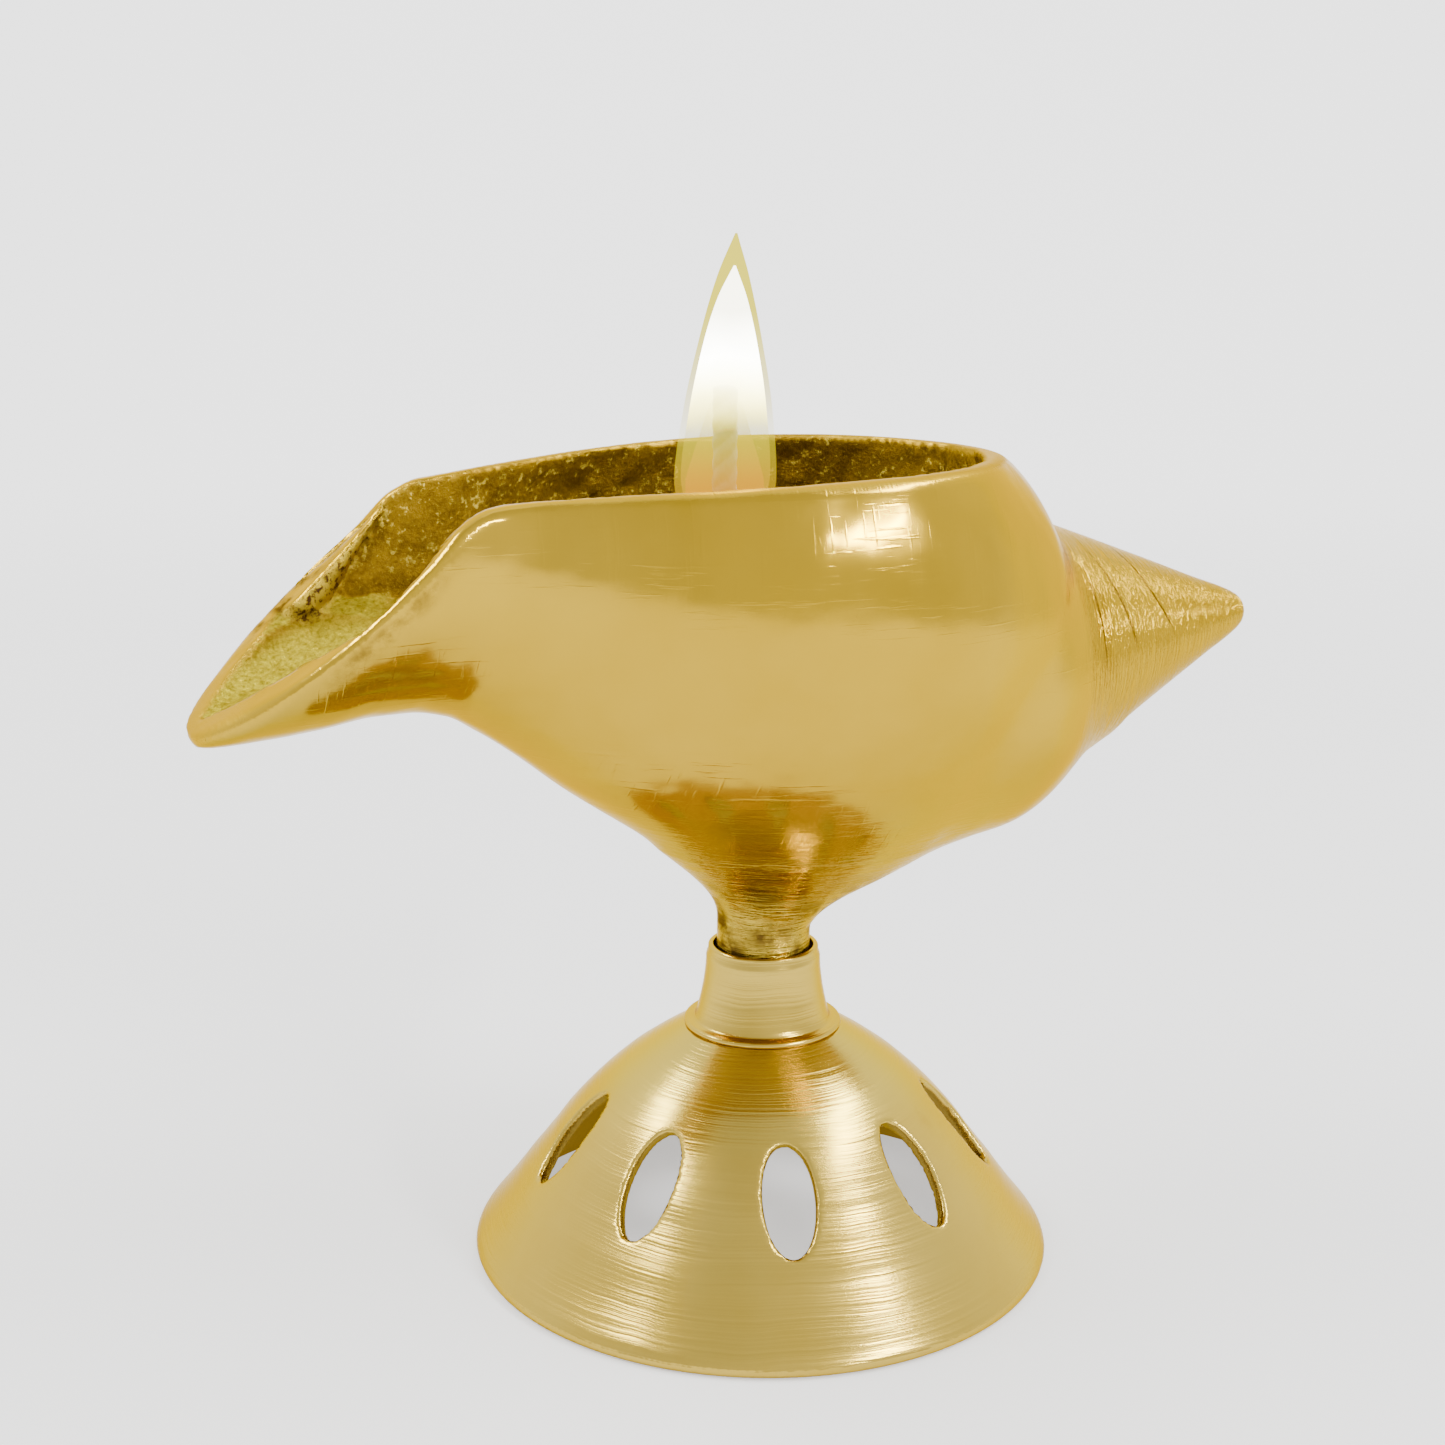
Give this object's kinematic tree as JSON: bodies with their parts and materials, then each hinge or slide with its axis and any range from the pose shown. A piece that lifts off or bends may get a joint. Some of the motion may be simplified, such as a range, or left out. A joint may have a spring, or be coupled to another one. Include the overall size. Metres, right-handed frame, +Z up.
{
  "type": "diya oil lamp",
  "caption": "Cast brass oil lamp in the shape of a conch shell, with an open pouring spout, on a pierced bell foot; a cotton wick stands in the bowl, lit.",
  "frame": {"origin": "centre of the foot's resting ring, on the plane it stands on", "axes": "X is the shell's long axis, with the pouring spout at -X and the spire at +X; Z is up along the foot's axis; the part stands on Z = 0"},
  "size_m": [0.1104, 0.058, 0.1002],
  "materials": {
    "foot_brass": "turned and polished",
    "bowl_brass": "cast, filed and buffed outside, rough inside",
    "steel": "zinc plated",
    "cotton": "twisted cotton",
    "flame": "luminous"
  },
  "bodies": {
    "foot": {"foot_bell": "foot_brass", "collar": "foot_brass", "tail_washer": "steel", "ring_nut": "foot_brass"},
    "seat": {"seat_washer": "steel"},
    "bowl": {"conch_bowl": "bowl_brass", "stem_stud": "steel"},
    "wick": {"wick": "cotton", "flame": "flame"}
  },
  "joints": [
    {"name": "bowl_rise", "type": "slide", "parent": "foot", "child": "seat", "axis": [0, 0, 1], "range_m": [0, 0.0051]},
    {"name": "bowl_unscrew", "type": "hinge", "parent": "seat", "child": "bowl", "pos_m": [0, 0, 0.03], "axis": [0, 0, 1], "range_deg": [0, 1440]},
    {"name": "wick_lift", "type": "slide", "parent": "bowl", "child": "wick", "axis": [0, 0, 1], "range_m": [0, 0.045]}
  ],
  "couplings": [
    {"joint": "bowl_rise", "follows": "bowl_unscrew", "m_per_rad": 0.00020213}
  ]
}
